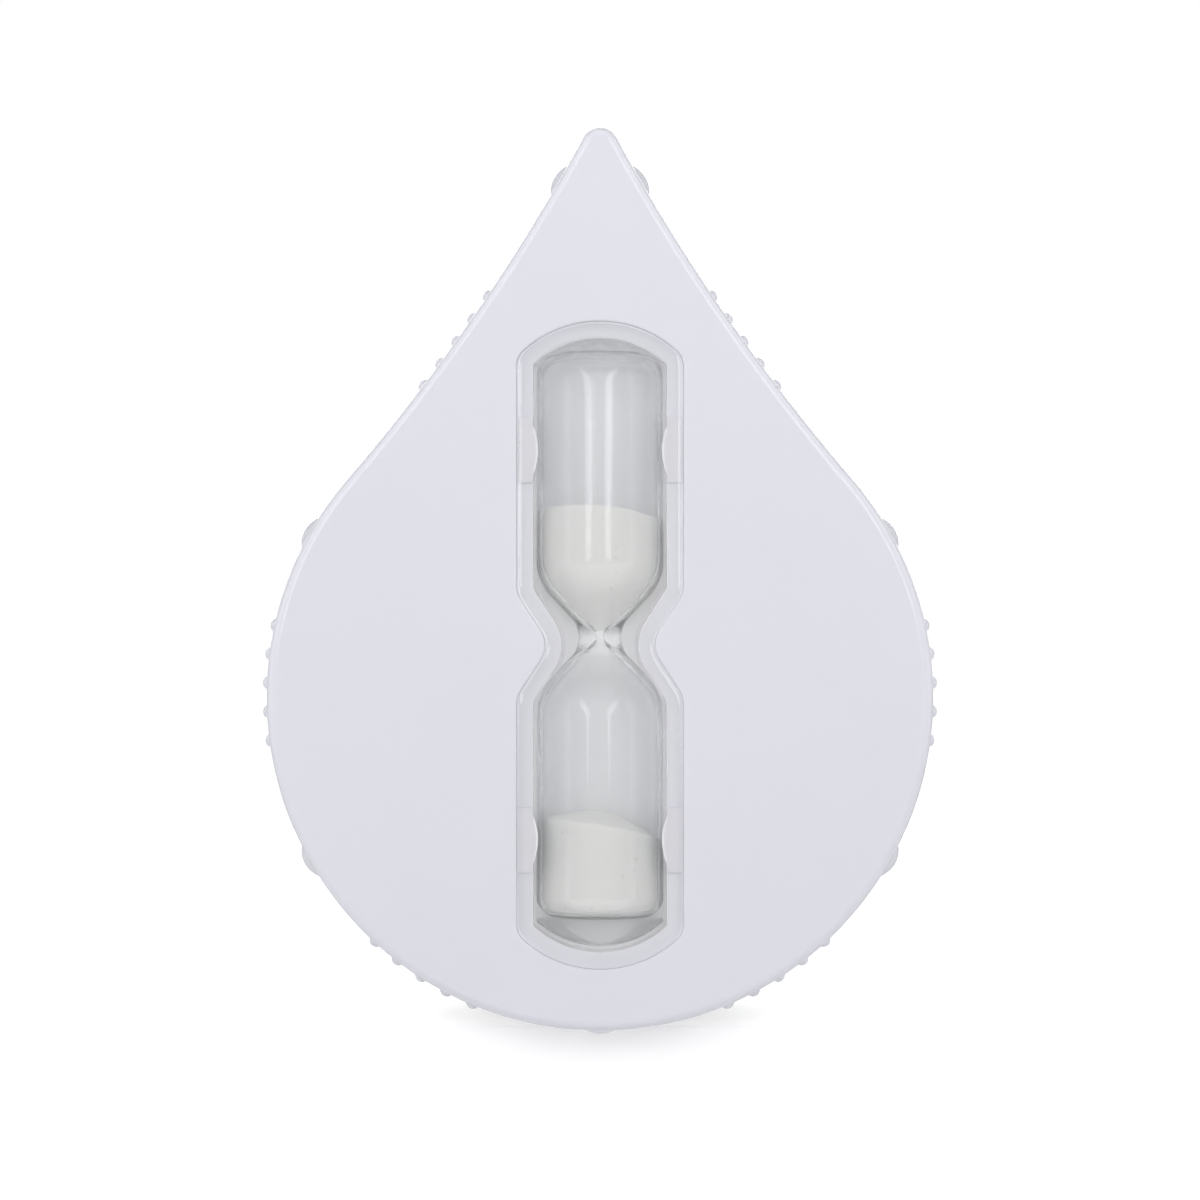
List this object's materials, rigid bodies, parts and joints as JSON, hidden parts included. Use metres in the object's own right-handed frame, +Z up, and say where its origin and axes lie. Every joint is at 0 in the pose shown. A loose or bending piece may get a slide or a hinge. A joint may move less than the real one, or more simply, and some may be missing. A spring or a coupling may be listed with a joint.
{
  "type": "shower timer",
  "caption": "Drop-shaped shower sand timer: a white moulded housing with a clear hourglass window, glass sand vial and a rear suction cup that it turns on.",
  "frame": {"origin": "centre of the suction cup's sealing face, on the swivel axis, which is behind the middle of the window", "axes": "+Z up when the drop's tip points up, -Y out of the wall towards the viewer, +X to the viewer's right"},
  "size_m": [0.086, 0.03, 0.1156],
  "materials": {
    "white_housing": "injection-moulded white ABS, low gloss",
    "white_cover": "injection-moulded white ABS, fine spark texture",
    "clear_window": "clear polystyrene, polished",
    "vial_glass": "drawn clear glass",
    "stopper": "clear cured sealant",
    "sand": "fine off-white sand with a few dark grains",
    "screw_steel": "stainless self-tapping screws",
    "clear_vinyl": "soft clear vinyl"
  },
  "bodies": {
    "wall_cup": {"suction_cup": "clear_vinyl"},
    "timer_body": {"front_shell": "white_housing", "rear_cover": "white_cover", "window_lens": "clear_window", "glass_vial": "vial_glass", "vial_stopper": "stopper", "sand_upper": "sand", "sand_lower": "sand", "cover_screw_top": "screw_steel", "cover_screw_left": "screw_steel", "cover_screw_right": "screw_steel"}
  },
  "joints": [
    {"name": "body_swivel", "type": "hinge", "parent": "wall_cup", "child": "timer_body", "pos_m": [0, 0, 0], "axis": [0, 1, 0], "continuous": true}
  ]
}
